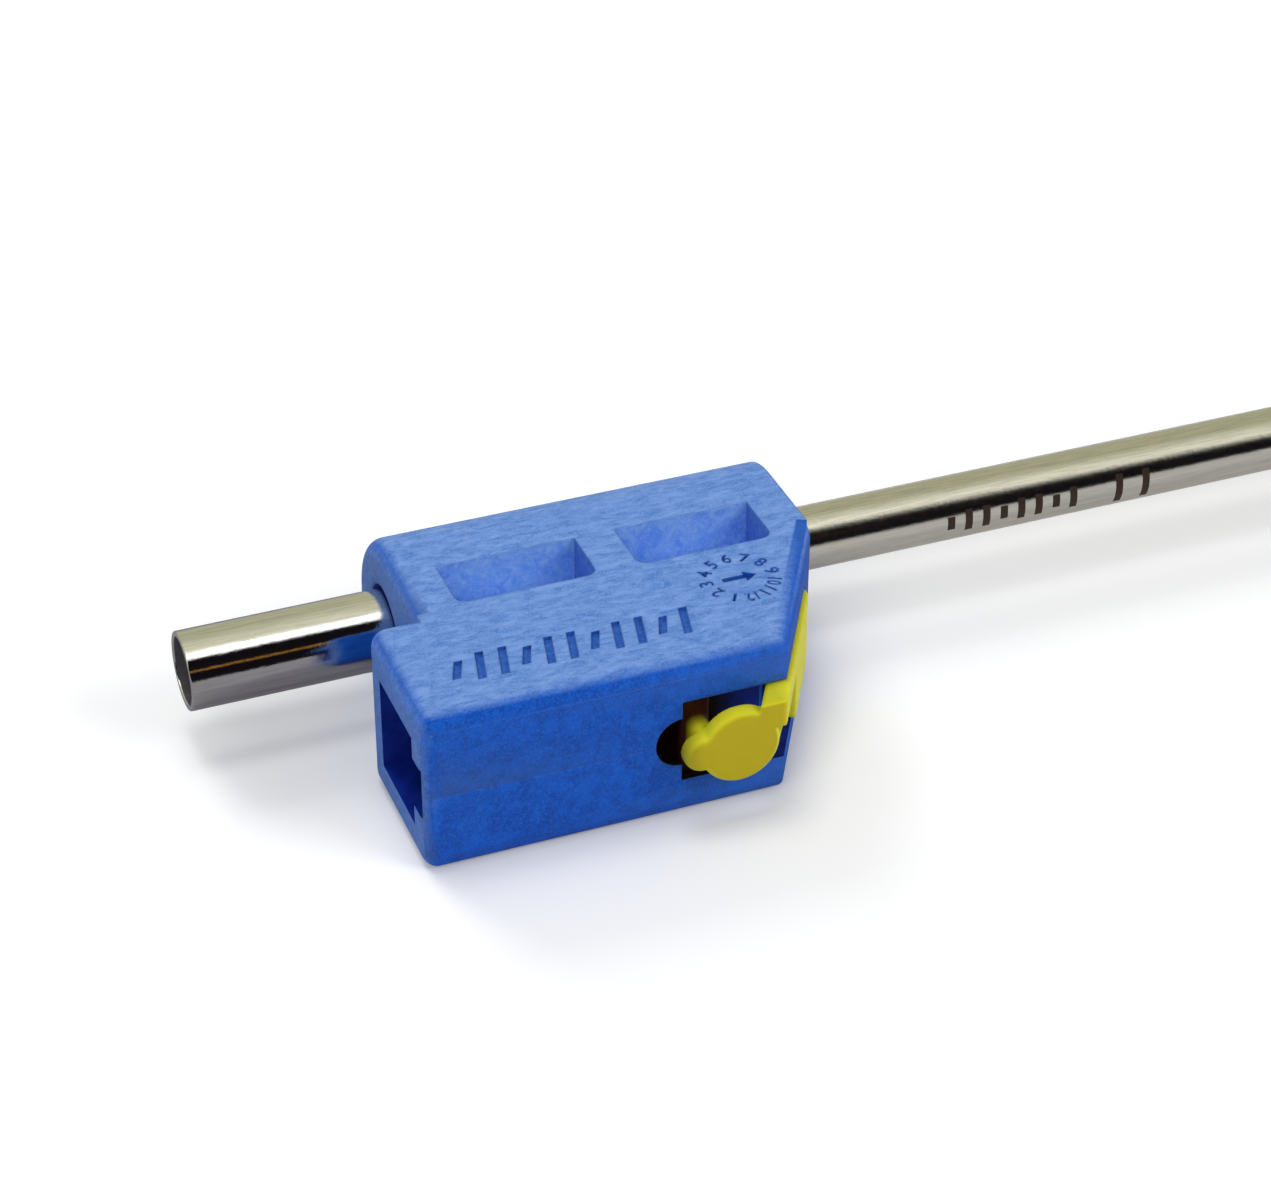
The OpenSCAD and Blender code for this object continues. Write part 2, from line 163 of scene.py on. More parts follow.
class Shader(Tree):
    """A procedural material. Its texture coordinates are millimetres of the frame."""

    def __init__(self, name):
        self.material = bpy.data.materials.new(name)
        self.material.use_nodes = True
        super().__init__(self.material.node_tree)
        self.surface = self.tree.nodes["Principled BSDF"]
        coords = self.node("ShaderNodeTexCoord")
        self.direction = coords.outputs["Normal"]
        self.place = self.node("ShaderNodeVectorMath", operation="SCALE")
        self.place.inputs["Scale"].default_value = 1 / MM
        self.join(coords.outputs["Object"], self.place.inputs[0])

    def stretched(self, scale):
        """The coordinates, stretched by a scale for each axis."""
        mapping = self.node("ShaderNodeMapping")
        mapping.inputs["Scale"].default_value = scale
        self.join(self.place.outputs[0], mapping.inputs["Vector"])
        return mapping.outputs["Vector"]

    def noise(self, scale, detail=4.0, rough=0.55, stretch=(1, 1, 1), distortion=0.0):
        made = self.node("ShaderNodeTexNoise")
        made.inputs["Scale"].default_value = scale
        made.inputs["Detail"].default_value = detail
        made.inputs["Roughness"].default_value = rough
        made.inputs["Distortion"].default_value = distortion
        self.join(self.stretched(stretch), made.inputs["Vector"])
        return made.outputs["Fac"]

    def bump(self, height, depth, normal=None):
        """A bump whose height is in millimetres."""
        made = self.node("ShaderNodeBump")
        made.inputs["Strength"].default_value = 1.0
        made.inputs["Distance"].default_value = depth * MM
        self.join(height, made.inputs["Height"])
        if normal is not None:
            self.join(normal, made.inputs["Normal"])
        return made.outputs["Normal"]

    def rounded(self, radius):
        """Normals that round the sharp edges off."""
        made = self.node("ShaderNodeBevel", samples=6)
        made.inputs["Radius"].default_value = radius * MM
        return made.outputs["Normal"]

    def facing(self, direction, low, high):
        """0 to 1 as the surface turns towards a direction."""
        dot = self.node("ShaderNodeVectorMath", operation="DOT_PRODUCT")
        self.join(self.direction, dot.inputs[0])
        dot.inputs[1].default_value = Vector(direction).normalized()
        return self.spread(dot.outputs["Value"], low, high)

    def along(self, axis, low, high):
        """0 to 1 between two places on an axis, in millimetres."""
        split = self.node("ShaderNodeSeparateXYZ")
        self.join(self.place.outputs[0], split.inputs[0])
        return self.spread(split.outputs[axis], low, high)

    def across(self, low, high):
        """0 to 1 between two places along the slanted face's normal, in millimetres."""
        dot = self.node("ShaderNodeVectorMath", operation="DOT_PRODUCT")
        self.join(self.place.outputs[0], dot.inputs[0])
        dot.inputs[1].default_value = SLANT_NORMAL
        return self.spread(dot.outputs["Value"], low, high)

    def edges(self, rounded):
        """1 on sharp edges, 0 on flats."""
        geometry = self.node("ShaderNodeNewGeometry")
        dot = self.node("ShaderNodeVectorMath", operation="DOT_PRODUCT")
        self.join(rounded, dot.inputs[0])
        self.join(geometry.outputs["True Normal"], dot.inputs[1])
        return self.spread(dot.outputs["Value"], 0.995, 0.8)

    def set(self, **values):
        """Plain values for the surface's own sockets; _ stands for a space."""
        for key, value in values.items():
            self.feed(self.surface.inputs[key.replace("_", " ")], value)

    def colour(self, source):
        self.join(source, self.surface.inputs["Base Color"])

    def roughness(self, source):
        self.join(source, self.surface.inputs["Roughness"])

    def normal(self, source):
        self.join(source, self.surface.inputs["Normal"])


def hub_plastic():
    """Matte deep blue moulding. Faces that look up or back and the front edges are painted paler, a
    painted sheen.
    """
    s = Shader("hub_plastic")
    deep, mid = (0.0022, 0.068, 0.44), (0.0042, 0.098, 0.58)
    painted_sheen_low, painted_sheen_high = (0.070, 0.195, 0.54), (0.205, 0.355, 0.74)
    clouds = s.noise(1.1, detail=6, rough=0.65, distortion=0.4)
    streaks = s.noise(1.7, detail=5, rough=0.62, stretch=(0.55, 1.5, 1.5), distortion=0.7)
    grain = s.noise(7.0, detail=4, rough=0.7)
    body = s.ramp(clouds, (0.41, deep), (0.59, mid))
    body = s.mix(s.spread(grain, 0.46, 0.66, 0.0, 0.60), body, (0.020, 0.170, 0.72))
    # Painted sheen: a paler, streaked blue that stands for the lamps' sheen
    painted_sheen = s.ramp(streaks, (0.36, painted_sheen_low), (0.66, painted_sheen_high))
    painted_sheen = s.mix(s.spread(grain, 0.45, 0.68, 0.0, 0.60), painted_sheen, (0.24, 0.40, 0.80))
    rounded = s.rounded(0.25)
    # Where the painted sheen goes: faces that look up, back, or along the rounded front edge; lift
    # mixes it in
    up = s.facing((0.12, 0.22, 0.97), 0.54, 0.94)
    rear = s.facing((-1, 0, 0), 0.5, 1.0)
    front = s.facing((0.70, 0, 0.72), 0.72, 0.96)
    lift = s.maths("MAXIMUM", up, s.maths("MULTIPLY", rear, 0.60))
    lift = s.maths("MAXIMUM", lift, s.maths("MULTIPLY", front, 0.85))
    body = s.mix(lift, body, painted_sheen)
    # Painted highlight: sharp edges painted a paler blue
    body = s.mix(s.maths("MULTIPLY", s.edges(rounded), 0.18), body, (0.16, 0.32, 0.72))
    s.colour(body)
    s.roughness(s.spread(clouds, 0.3, 0.7, 0.50, 0.62))
    s.set(IOR=1.45, Specular_IOR_Level=0.3)
    s.normal(s.bump(s.noise(1.4, detail=3), 0.008, s.bump(grain, 0.010, rounded)))
    return s.material


def pocket_plastic():
    """Walls of the core pockets: spark-eroded texture, paler partly by its own tone and partly as
    painted light, with bright flecks as painted glints.
    """
    s = Shader("pocket_plastic")
    flecks = s.noise(3.6, detail=5, rough=0.75, distortion=0.8)
    waves = s.noise(0.9, detail=5, rough=0.65, distortion=1.2)
    body = s.ramp(waves, (0.38, (0.16, 0.38, 0.96)), (0.62, (0.32, 0.58, 1.0)))
    # Painted glints: bright flecks mixed into the colour
    body = s.mix(s.spread(flecks, 0.50, 0.66, 0.0, 0.6), body, (0.50, 0.66, 1.0))
    s.colour(body)
    s.roughness(s.spread(flecks, 0.4, 0.7, 0.5, 0.25))
    s.normal(s.bump(flecks, 0.10))
    return s.material


def inner_painted_shade():
    """Painted shade: deep blue inside the socket, near black behind the window."""
    s = Shader("inner_painted_shade")
    clouds = s.noise(1.2, detail=5)
    socket = s.ramp(clouds, (0.35, (0.0035, 0.014, 0.20)), (0.65, (0.0050, 0.026, 0.30)))
    # Painted shade behind the window: near black between these places on X
    window = s.maths("MULTIPLY", s.along("X", 5.0, 9.0), s.along("X", 17.0, 15.6))
    s.colour(s.mix(window, socket, (0.012, 0.009, 0.006)))
    s.set(Roughness=0.6, Specular_IOR_Level=0.15)
    return s.material


def mark_shade_plastic():
    """Floors of the sunk marks, a deeper blue: painted shade."""
    s = Shader("mark_shade_plastic")
    clouds = s.noise(4.0, detail=4)
    s.colour(s.ramp(clouds, (0.35, (0.020, 0.095, 0.40)), (0.65, (0.045, 0.150, 0.52))))
    s.set(Roughness=0.6, Specular_IOR_Level=0.2)
    return s.material


def latch_plastic():
    """Satin yellow moulding with painted light and shade: a lemon painted highlight on the edges,
    warmer painted shade on the flats, dark painted shade deep inside the hub.
    """
    s = Shader("latch_plastic")
    painted_shade_warm, lemon, shade = (0.55, 0.44, 0.006), (0.70, 0.66, 0.022), (0.035, 0.006, 0.002)
    clouds = s.noise(1.2, detail=5, rough=0.6)
    grain = s.noise(11.0, detail=3)
    rounded = s.rounded(0.3)
    # Painted shade: faces turned to the near side get a warmer, darker yellow
    flat = s.mix(s.spread(clouds, 0.35, 0.65, 0.0, 0.35), painted_shade_warm, (0.56, 0.47, 0.010))
    body = s.mix(s.facing((0, -1, 0), 0.75, 0.99), lemon, flat)
    # Painted light: faces turned like the slanted strip, and the arm past X 17.6 mm, get a paler
    # yellow
    body = s.mix(s.facing(SLANT_NORMAL, 0.75, 0.99), body, (0.90, 0.84, 0.040))
    body = s.mix(s.along("X", 17.6, 18.5), body, (0.90, 0.86, 0.045))
    # Painted shade on the lobe, darker towards low X
    body = s.mix(s.along("X", 13.0, 11.4), body, (0.32, 0.27, 0.005))
    # Painted highlight: sharp edges painted lemon
    body = s.mix(s.maths("MULTIPLY", s.edges(rounded), 0.6), body, lemon)
    # Painted shade deep inside the hub, behind the window
    deep = s.maths("MULTIPLY", s.along("Y", -17.2, -16.2), s.across(23.3, 22.2))
    body = s.mix(deep, body, shade)
    s.colour(body)
    s.roughness(s.spread(grain, 0.3, 0.7, 0.40, 0.52))
    s.set(IOR=1.45, Specular_IOR_Level=0.3, Subsurface_Weight=0.12, Subsurface_Scale=0.6 * MM)
    s.surface.inputs["Subsurface Radius"].default_value = (1.0, 0.5, 0.03)
    s.normal(s.bump(grain, 0.006, rounded))
    return s.material


def steel(name, tint, low, high, grain, speckle):
    """Drawn stainless tube: fine lines along it and a grain. The speckle is the grain's height."""
    s = Shader(name)
    lines = s.noise(3.0, detail=4, rough=0.7, stretch=(0.12, 2.2, 2.2))
    specks = s.noise(grain, detail=4, rough=0.75)
    dark = tuple(STEEL_LINE_SHARE * c for c in tint)
    s.colour(s.ramp(lines, (0.35, dark), (0.6, tint)))
    s.roughness(s.spread(specks, 0.35, 0.7, low, high))
    s.set(Metallic=1.0)
    s.normal(s.bump(specks, speckle, s.bump(lines, 0.0005)))
    return s.material


def sleeve_bore_shade():
    """Dull bore of the suction sleeve, painted dark grey as painted shade."""
    s = Shader("sleeve_bore_shade")
    s.colour(s.ramp(s.noise(2.0), (0.3, (0.085, 0.08, 0.085)), (0.7, (0.12, 0.115, 0.12))))
    s.set(Roughness=0.6, Metallic=0.3)
    return s.material


def etched_mark():
    """Laser-darkened steel."""
    s = Shader("etched_mark")
    s.colour(s.ramp(s.noise(6.0), (0.3, (0.030, 0.018, 0.012)), (0.7, (0.055, 0.034, 0.024))))
    s.set(Roughness=0.55, Metallic=0.4)
    return s.material


# Mesh helpers


def mesh_object(name, bm):
    mesh = bpy.data.meshes.new(name)
    bm.to_mesh(mesh)
    bm.free()
    return link(bpy.data.objects.new(name, mesh))


def paint(obj, material):
    obj.data.materials.clear()
    obj.data.materials.append(material)


def smooth(obj, angle=32):
    """Smooth shading with sharp edges kept."""
    for polygon in obj.data.polygons:
        polygon.use_smooth = True
    obj.data.set_sharp_from_angle(angle=math.radians(angle))


def welded_copy(node, name, scale=1.0):
    """A copy of a CAD node's mesh with its vertices joined and flat faces whole again."""
    bm = bmesh.new()
    bm.from_mesh(nodes[node].data)
    bmesh.ops.remove_doubles(bm, verts=bm.verts, dist=0.0005 * MM)
    bmesh.ops.dissolve_limit(bm, angle_limit=math.radians(0.2), verts=bm.verts, edges=bm.edges)
    bmesh.ops.scale(bm, vec=(scale,) * 3, verts=bm.verts)
    return mesh_object(name, bm)


def evaluated(obj):
    """The mesh with its modifiers applied."""
    graph = bpy.context.evaluated_depsgraph_get()
    return bpy.data.meshes.new_from_object(obj.evaluated_get(graph))


def carved(node, name, cutters):
    """A copy of a CAD node with cutters taken out of it. The cut is made in millimetres."""
    obj = welded_copy(node, name, 1 / MM)
    for cutter in cutters:
        cut = obj.modifiers.new("cut", "BOOLEAN")
        cut.operation = "DIFFERENCE"
        cut.solver = "EXACT"
        cut.use_self = True
        cut.object = cutter
        obj.data = evaluated(obj)
        obj.modifiers.clear()
        bpy.data.objects.remove(cutter)
    obj.data.transform(Matrix.Scale(MM, 4))
    return obj


# Moulded marks on the hub's top face, in millimetres

MARK_DEPTH = 0.2
OVERRUN = 1.0
WELD = 0.001
WITNESS_CENTRES = [(13.2, -8.5), (2.8, -8.35), (12.1, -2.2)]
WITNESS_R = 1.4
WITNESS_LINE = 0.13
DIAL_CENTRE = (18.6, -9.8)
DIAL_NUMBER_R = 2.0
DIAL_NUMBER_HEIGHT = 0.86
DIAL_NUMBER_WEIGHT = 0.02
DIAL_NUMBER_ROOM = 0.72
DIAL_NUMBERS = 12
ARROW_HALF = 1.05
ARROW_SHAFT_HALF = 0.18
ARROW_HEAD_HALF = 0.5
ARROW_NECK = 0.315
TYPE_SIZE_SHARE = 1.4
BAND_START = 0.2
BAND_STEP = 1.36
BAND_MIDDLE = -12.7
BAND_COUNT = 11
BAND_WIDTH = 0.5
BAND_SLANT = 0.3
BAND_HALF = 1.25
BAND_SHORT = 0.8
SHORT_EVERY = 3


def slab(bm, outline, low, high):
    """Adds a prism over an outline in XY."""
    rings = [[bm.verts.new((x, y, z)) for x, y in outline] for z in (low, high)]
    bm.faces.new(list(reversed(rings[0])))
    bm.faces.new(rings[1])
    count = len(outline)
    for k in range(count):
        n = (k + 1) % count
        bm.faces.new((rings[0][k], rings[0][n], rings[1][n], rings[1][k]))


def turned(bm, profile, sides, place):
    """Adds a closed ring. place gives the position of a point of the profile at an angle."""
    rings = []
    for k in range(sides):
        a = 2 * math.pi * k / sides
        rings.append([bm.verts.new(place(*point, a)) for point in profile])
    count = len(profile)
    for k in range(sides):
        here, there = rings[k], rings[(k + 1) % sides]
        for j in range(count):
            i = (j + 1) % count
            bm.faces.new((here[j], here[i], there[i], there[j]))


def washer(bm, centre, inner, outer, low, high, sides=48):
    """Adds a flat ring with a square section."""
    cx, cy = centre
    turned(bm, [(inner, low), (outer, low), (outer, high), (inner, high)], sides,
           lambda r, z, a: (cx + r * math.cos(a), cy + r * math.sin(a), z))


def witness_cutter():
    """Rings left by the ejector pins."""
    bm = bmesh.new()
    for centre in WITNESS_CENTRES:
        washer(bm, centre, WITNESS_R - WITNESS_LINE, WITNESS_R, TOP - MARK_DEPTH / 2, TOP + OVERRUN)
    return mesh_object("witness_cutter", bm)


def band_cutter():
    """A row of plain slanted bars of alternating length in place of the moulded name."""
    bm = bmesh.new()
    for k in range(BAND_COUNT):
        x = BAND_START + k * BAND_STEP
        half = BAND_HALF if k % SHORT_EVERY else BAND_SHORT
        outline = [
            (x - BAND_SLANT, BAND_MIDDLE - half), (x - BAND_SLANT + BAND_WIDTH, BAND_MIDDLE - half),
            (x + BAND_SLANT + BAND_WIDTH, BAND_MIDDLE + half), (x + BAND_SLANT, BAND_MIDDLE + half),
        ]
        slab(bm, outline, TOP - MARK_DEPTH, TOP + OVERRUN)
    return mesh_object("band_cutter", bm)


def number_mesh(text, height):
    """A number as a prism, its middle at the origin."""
    curve = bpy.data.curves.new("number", "FONT")
    curve.body = text
    curve.size = height * TYPE_SIZE_SHARE
    curve.align_x = "CENTER"
    curve.align_y = "CENTER"
    curve.resolution_u = 3
    curve.offset = DIAL_NUMBER_WEIGHT
    curve.extrude = MARK_DEPTH
    obj = link(bpy.data.objects.new("number", curve))
    bpy.context.view_layer.update()
    mesh = evaluated(obj)
    bpy.data.objects.remove(obj)
    across = [vertex.co.x for vertex in mesh.vertices]
    width = max(across) - min(across)
    mesh.transform(Matrix.Scale(min(1.0, DIAL_NUMBER_ROOM / width), 4, Vector((1, 0, 0))))
    return mesh


def dial_cutter():
    """Plain numbers, 1 to 12, in a ring with their feet inwards, round an arrow."""
    bm = bmesh.new()
    cx, cy = DIAL_CENTRE
    for k in range(DIAL_NUMBERS):
        a = math.radians(90) - 2 * math.pi * (k + 1) / DIAL_NUMBERS + math.pi
        mesh = number_mesh(str(k + 1), DIAL_NUMBER_HEIGHT)
        place = Vector((cx + DIAL_NUMBER_R * math.cos(a), cy + DIAL_NUMBER_R * math.sin(a), TOP))
        mesh.transform(Matrix.Translation(place) @ Matrix.Rotation(a - math.pi / 2, 4, "Z"))
        bm.from_mesh(mesh)
        bpy.data.meshes.remove(mesh)
    bmesh.ops.remove_doubles(bm, verts=bm.verts, dist=WELD)
    arrow = [
        (cx - ARROW_HALF, cy - ARROW_SHAFT_HALF), (cx + ARROW_NECK, cy - ARROW_SHAFT_HALF),
        (cx + ARROW_NECK, cy - ARROW_HEAD_HALF), (cx + ARROW_HALF, cy),
        (cx + ARROW_NECK, cy + ARROW_HEAD_HALF), (cx + ARROW_NECK, cy + ARROW_SHAFT_HALF),
        (cx - ARROW_HALF, cy + ARROW_SHAFT_HALF),
    ]
    slab(bm, arrow, TOP - MARK_DEPTH * 2, TOP + OVERRUN)
    return mesh_object("dial_cutter", bm)


# Dished entry of the suction sleeve, in millimetres

DISH_DEPTH = 0.75
DISH_WIDTH = 0.5
DISH_STEPS = 6
DISH_OVERRUN = 0.5
SEAT = 0.03


def lathe(bm, profile, sides=96):
    """Adds a closed ring turned about the tube axis. The profile is a loop of (x, radius)."""
    turned(bm, profile, sides, lambda x, r, a: (x, r * math.cos(a), r * math.sin(a)))
    bmesh.ops.recalc_face_normals(bm, faces=bm.faces)


def quarter_turn(steps):
    """Angles from 0 to a right angle."""
    return [math.pi / 2 * k / steps for k in range(steps + 1)]


def dish_cutter():
    """Opens the hub's rear face round the sleeve, with a rounded lip."""
    bm = bmesh.new()
    rise = [(DISH_DEPTH * (1 - math.sin(a)), SLEEVE_R + SEAT + DISH_WIDTH * (1 - math.cos(a)))
            for a in quarter_turn(DISH_STEPS)]
    lathe(bm, [(-DISH_OVERRUN, SLEEVE_R / 2), (DISH_DEPTH, SLEEVE_R / 2)] + rise
          + [(-DISH_OVERRUN, SLEEVE_R + SEAT + DISH_WIDTH)])
    return mesh_object("dish_cutter", bm)


# Zones of the hub with a skin of their own, in millimetres: the lowest and highest corner of each.
# The inner zone and the floors in the mark zone get painted shade. A face that looks to the near
# side belongs to the inner zone only if it lies past OUTER_SKIN. The dish's painted shade covers
# this share of its width.

POCKET_ZONE = ((2.3, -6.6, 1.5), (22.6, -2.4, 5.28))
INNER_SHADE_ZONE = ((-2.85, -17.2, -3.1), (17.6, -8.4, 3.1))
MARK_SHADE_ZONE = ((0.2, -15.8, 4.9), (22.4, -0.6, 5.28))
OUTER_SKIN = -15.5
DISH_SHADE_SHARE = 0.6

# A face counts as turned along an axis when its normal has this share there, and as level at LEVEL
TURNED = 0.5
LEVEL = 0.99
POCKET_SKIN, INNER_SHADE_SKIN, MARK_SHADE_SKIN = 1, 2, 3


def in_zone(point, zone):
    return all(low < value < high for value, low, high in zip(point, *zone))


def in_dish(point):
    """Whether a place lies in the part of the dish that gets painted shade, which leaves out its
    outer rim.
    """
    reach = SLEEVE_R + DISH_WIDTH * DISH_SHADE_SHARE
    return 0 < point.x < DISH_DEPTH + SEAT and math.hypot(point.y, point.z) < reach


def skin(piece, main, pocket, inner, mark):
    """Gives the core pockets a material of their own, and the socket, the dish and the floors of
    the sunk marks painted shade.
    """
    paint(piece, main)
    for material in (pocket, inner, mark):
        piece.data.materials.append(material)
    for polygon in piece.data.polygons:
        middle, normal = polygon.center / MM, polygon.normal
        if in_zone((middle.x, middle.y, abs(middle.z)), POCKET_ZONE) and normal.x > -TURNED:
            polygon.material_index = POCKET_SKIN
        # Painted shade inside the socket and behind the window
        elif in_zone(middle, INNER_SHADE_ZONE) and (normal.y > -TURNED or middle.y > OUTER_SKIN):
            polygon.material_index = INNER_SHADE_SKIN
        # The dish gets the same painted shade
        elif in_dish(middle):
            polygon.material_index = INNER_SHADE_SKIN
        # Painted shade on the floors of the sunk marks
        if in_zone(middle, MARK_SHADE_ZONE) and normal.z > LEVEL:
            polygon.material_index = MARK_SHADE_SKIN


def make_hub(main, pocket, inner, mark):
    upper = carved("hub_upper_shell", "upper_shell",
                   [dish_cutter(), witness_cutter(), band_cutter(), dial_cutter()])
    lower = carved("hub_lower_shell", "lower_shell", [dish_cutter()])
    for piece, node in ((upper, "hub_upper_shell"), (lower, "hub_lower_shell")):
        skin(piece, main, pocket, inner, mark)
        smooth(piece)
        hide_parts(node)
        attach(piece, "hub")


# Suction sleeve, in millimetres: its wall, the rounding of its rim, and how much it narrows inside
# the hub

SLEEVE_WALL = 0.35
SLEEVE_LIP = 0.09
SLEEVE_LIP_STEPS = 4
GRIP_STEP = 0.175
BORE_MARGIN = 0.02


def make_sleeve(material, inside):
    """The sleeve with a soft end rim. It keeps its full radius down to the floor of the dish."""
    bm = bmesh.new()
    start, end = SLEEVE_LOW[0] / MM, SLEEVE_HIGH[0] / MM
    bore = SLEEVE_R - SLEEVE_WALL
    lip = [(start + SLEEVE_LIP * (1 - math.cos(a)), SLEEVE_LIP * (1 - math.sin(a)))
           for a in quarter_turn(SLEEVE_LIP_STEPS)]
    outer = [(x, SLEEVE_R - drop) for x, drop in lip]
    inner = [(x, bore + drop) for x, drop in reversed(lip)]
    gripped = SLEEVE_R - GRIP_STEP
    step = [(DISH_DEPTH, SLEEVE_R), (DISH_DEPTH, gripped), (end, gripped), (end, bore)]
    lathe(bm, outer + step + inner)
    bmesh.ops.scale(bm, vec=(MM,) * 3, verts=bm.verts)
    piece = mesh_object("sleeve", bm)
    paint(piece, material)
    piece.data.materials.append(inside)
    for polygon in piece.data.polygons:
        middle = polygon.center / MM
        # The bore gets the dark painted shade
        if middle.x > start + SLEEVE_LIP and math.hypot(middle.y, middle.z) < bore + BORE_MARGIN:
            polygon.material_index = 1
    smooth(piece)
    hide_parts("suction_sleeve")
    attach(piece, "hub")


# Latch: the size of the remesh in millimetres, and how much it is smoothed

LATCH_VOXEL = 0.075
LATCH_SOFTEN_FACTOR = 0.5
LATCH_SOFTEN_PASSES = 6


def make_latch(material):
    """The latch with its edges and inside corners softened, as a moulding has them."""
    for node, body in (("release_latch", "latch"), ("latch_root", "hub")):
        piece = welded_copy(node, node + "_moulding", 1 / MM)
        remesh = piece.modifiers.new("remesh", "REMESH")
        remesh.mode = "VOXEL"
        remesh.voxel_size = LATCH_VOXEL
        soften = piece.modifiers.new("soften", "SMOOTH")
        soften.factor = LATCH_SOFTEN_FACTOR
        soften.iterations = LATCH_SOFTEN_PASSES
        piece.data = evaluated(piece)
        piece.modifiers.clear()
        piece.data.transform(Matrix.Scale(MM, 4))
        paint(piece, material)
        for polygon in piece.data.polygons:
            polygon.use_smooth = True
        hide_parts(node)
        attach(piece, body)


# Etched bars on the shaft, in millimetres from the hub's front

ETCH_LIFT = 0.010
ETCH_START = 11.4
ETCH_STEP = 1.22
ETCH_COUNT = 8
ETCH_WIDTH = 0.5
ETCH_SHORT_SHARE = 0.6
ETCH_MIDDLE = math.radians(86)
ETCH_HALF = math.radians(21)
SECOND_COUNT = 2
SECOND_START = 23.2
SECOND_STEP = 1.9
SECOND_MIDDLE = math.radians(90)
SECOND_HALF = math.radians(30)


def etched_patch(bm, x0, x1, a0, a1, steps=6):
    """A patch of the shaft's surface. Angles run from +Z towards the near side."""
    r = TUBE_R / MM + ETCH_LIFT
    rows = []
    for k in range(steps + 1):
        a = a0 + (a1 - a0) * k / steps
        rows.append([bm.verts.new((x, -r * math.sin(a), r * math.cos(a))) for x in (x0, x1)])
    for here, there in zip(rows, rows[1:]):
        bm.faces.new((here[0], here[1], there[1], there[0]))


def make_etching(material):
    """Plain bars in place of the size and the approval mark."""
    bm = bmesh.new()
    front = HUB_FRONT / MM
    for k in range(ETCH_COUNT):
        x = front + ETCH_START + k * ETCH_STEP
        half = ETCH_HALF if k % SHORT_EVERY else ETCH_HALF * ETCH_SHORT_SHARE
        etched_patch(bm, x, x + ETCH_WIDTH, ETCH_MIDDLE - half, ETCH_MIDDLE + half)
    for k in range(SECOND_COUNT):
        x = front + SECOND_START + k * SECOND_STEP
        low, high = SECOND_MIDDLE - SECOND_HALF, SECOND_MIDDLE + SECOND_HALF
        etched_patch(bm, x, x + ETCH_WIDTH, low, high)
    bmesh.ops.scale(bm, vec=(MM,) * 3, verts=bm.verts)
    bmesh.ops.recalc_face_normals(bm, faces=bm.faces)
    piece = mesh_object("etched_bars", bm)
    paint(piece, material)
    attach(piece, "hub")


# Stage and light. Reaches over the floor are in millimetres, and its own half width in metres.

FLOOR_HALF = 3.0
FLOOR_WHITE = (1.0, 1.0, 1.0)
FLOOR_DIFFUSE = (0.80, 0.80, 0.80)
# Painted shade seen by metal: the floor's grey for mirrored rays, darker near the hub, lighter
# towards the tip
FLOOR_GLOSSY_SHADE = (0.31, 0.295, 0.32)
FLOOR_GLOSSY_FRONT_SHADE = (0.62, 0.60, 0.58)
FLOOR_LIFT = 0.12
FLOOR_FAR = (280.0, 800.0)
GLOSSY_SHADE_CHANGE = (10.0, 30.0)
# Painted shade close to the parts: the floor's colour there, and how far it reaches in millimetres
FLOOR_CONTACT_SHADE = (0.78, 0.785, 0.765)
CONTACT_SHADE_RANGE = 7.0


def make_floor():
    """A white floor that keeps the shadow, with painted shade close to the parts. The camera sees
    it brighter, and white far away; metal sees it as a grey in painted shade.
    """
    bm = bmesh.new()
    bmesh.ops.create_grid(bm, x_segments=1, y_segments=1, size=FLOOR_HALF)
    bmesh.ops.translate(bm, vec=(0, 0, HUB_FLOOR), verts=bm.verts)
    floor = mesh_object("floor", bm)
    s = Shader("floor_white")
    path = s.node("ShaderNodeLightPath")
    # Painted shade: the floor darkens close to the parts
    contact_shade = s.node("ShaderNodeAmbientOcclusion", samples=16)
    contact_shade.inputs["Distance"].default_value = CONTACT_SHADE_RANGE * MM
    white = s.mix(contact_shade.outputs["AO"], FLOOR_CONTACT_SHADE, FLOOR_WHITE)
    seen = s.mix(path.outputs["Is Camera Ray"], FLOOR_DIFFUSE, white)
    # Painted shade in reflections: darker near the hub, lighter towards the tip
    glossy = s.mix(s.along("X", *GLOSSY_SHADE_CHANGE), FLOOR_GLOSSY_SHADE, FLOOR_GLOSSY_FRONT_SHADE)
    s.colour(s.mix(path.outputs["Is Glossy Ray"], seen, glossy))
    s.set(Roughness=0.9, Specular_IOR_Level=0.0, Emission_Color=(1.0, 1.0, 1.0))
    reach = s.node("ShaderNodeVectorMath", operation="LENGTH")
    s.join(s.place.outputs[0], reach.inputs[0])
    lift = s.spread(reach.outputs["Value"], *FLOOR_FAR, FLOOR_LIFT, 1.0)
    lift = s.maths("MULTIPLY", path.outputs["Is Camera Ray"], lift)
    s.join(lift, s.surface.inputs["Emission Strength"])
    paint(floor, s.material)


# Where the room that the sleeve mirrors goes over into the one for the cannula, as a direction's X,
# and how far, in turns, the cannula's bands slip between two directions
ROOM_SPLIT = 0.28
ROOM_BLEND = 0.03
SLIP_FROM, SLIP_TO, SLIP = 0.32, 0.72, -0.10


def room(tree, turns, *stops):
    """Bands round the tube axis. A stop is (degrees from the zenith to the near side, colour)."""
    return tree.ramp(turns, *[(0.5 + degrees / 360, colour) for degrees, colour in stops])


def background(tree, colour, strength=1.0):
    made = tree.node("ShaderNodeBackground")
    tree.feed(made.inputs["Color"], colour)
    tree.feed(made.inputs["Strength"], strength)
    return made.outputs[0]


